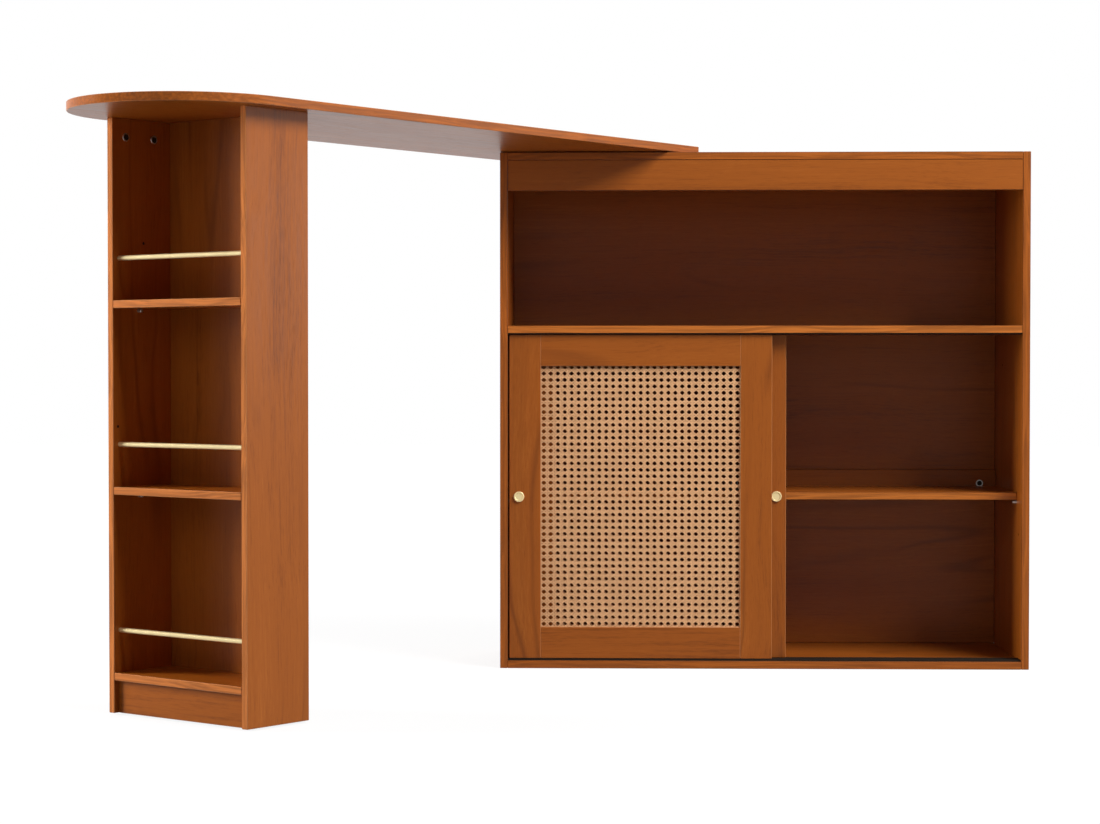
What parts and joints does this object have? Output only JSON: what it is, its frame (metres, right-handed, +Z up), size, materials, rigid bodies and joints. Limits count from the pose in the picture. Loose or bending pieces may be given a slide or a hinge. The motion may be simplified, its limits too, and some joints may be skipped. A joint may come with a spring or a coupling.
{
  "type": "bar counter with shelves",
  "caption": "Corner bar counter: a cabinet with sliding cane doors and an open compartment, and a long round-ended bar top that swivels on it over a rolling shelf tower with guard rods.",
  "frame": {"origin": "middle of the cabinet's underside, on the floor", "axes": "+X to the right along the cabinet's width, -Y towards the cabinet's front, +Z up; the bar stands swung 52.8 degrees out over the front left"},
  "size_m": [1.7311, 1.3071, 1.034],
  "materials": {
    "veneered_board": "satin reddish-brown wood grain",
    "cane": "natural woven cane",
    "brass": "brushed pale brass",
    "plated_steel": "zinc plated",
    "black_plastic": "satin black",
    "roller_rubber": "matte grey"
  },
  "bodies": {
    "cabinet": {"cabinet_left_side": "veneered_board", "cabinet_right_side": "veneered_board", "cabinet_top": "veneered_board", "cabinet_bottom": "veneered_board", "cabinet_back": "veneered_board", "cabinet_apron": "veneered_board", "middle_shelf": "veneered_board", "centre_divider": "veneered_board", "left_inner_shelf": "veneered_board", "right_inner_shelf": "veneered_board", "left_back_rail": "veneered_board", "right_back_rail": "veneered_board", "bottom_track": "black_plastic", "top_track": "black_plastic", "shelf_pin_left_outer_front": "plated_steel", "shelf_pin_left_outer_rear": "plated_steel", "shelf_pin_left_inner_front": "plated_steel", "shelf_pin_left_inner_rear": "plated_steel", "shelf_pin_right_outer_front": "plated_steel", "shelf_pin_right_outer_rear": "plated_steel", "shelf_pin_right_inner_front": "plated_steel", "shelf_pin_right_inner_rear": "plated_steel", "swivel_bolt": "plated_steel", "swivel_washer": "black_plastic"},
    "bar": {"bar_top": "veneered_board", "swivel_insert": "plated_steel", "tower_left_side": "veneered_board", "tower_right_side": "veneered_board", "tower_back": "veneered_board", "tower_bottom_shelf": "veneered_board", "tower_lower_shelf": "veneered_board", "tower_upper_shelf": "veneered_board", "tower_plinth": "veneered_board", "guard_rod_lower": "brass", "guard_rod_middle": "brass", "guard_rod_upper": "brass", "left_roller_housing": "plated_steel", "left_roller_axle": "plated_steel", "right_roller_housing": "plated_steel", "right_roller_axle": "plated_steel"},
    "front_door": {"front_door_left_stile": "veneered_board", "front_door_right_stile": "veneered_board", "front_door_bottom_rail": "veneered_board", "front_door_top_rail": "veneered_board", "front_door_cane": "cane", "front_door_pull": "brass", "front_door_left_glide": "black_plastic", "front_door_right_glide": "black_plastic", "front_door_top_guide": "black_plastic"},
    "rear_door": {"rear_door_left_stile": "veneered_board", "rear_door_right_stile": "veneered_board", "rear_door_bottom_rail": "veneered_board", "rear_door_top_rail": "veneered_board", "rear_door_cane": "cane", "rear_door_pull": "brass", "rear_door_left_glide": "black_plastic", "rear_door_right_glide": "black_plastic", "rear_door_top_guide": "black_plastic"},
    "left_wheel": {"left_roller_wheel": "roller_rubber"},
    "right_wheel": {"right_roller_wheel": "roller_rubber"}
  },
  "joints": [
    {"name": "bar_swivel", "type": "hinge", "parent": "cabinet", "child": "bar", "pos_m": [-0.34, -0.048, 1.018], "axis": [0, 0, 1], "continuous": true},
    {"name": "front_door_slide", "type": "slide", "parent": "cabinet", "child": "front_door", "axis": [1, 0, 0], "range_m": [0, 0.486]},
    {"name": "rear_door_slide", "type": "slide", "parent": "cabinet", "child": "rear_door", "axis": [1, 0, 0], "range_m": [-0.029, 0.457]},
    {"name": "left_wheel_spin", "type": "hinge", "parent": "bar", "child": "left_wheel", "pos_m": [-1.06602, -0.83083, 0.021], "axis": [0.68, 0.7332, 0], "continuous": true},
    {"name": "right_wheel_spin", "type": "hinge", "parent": "bar", "child": "right_wheel", "pos_m": [-0.89875, -0.9578, 0.021], "axis": [0.5233, 0.8521, 0], "continuous": true}
  ]
}
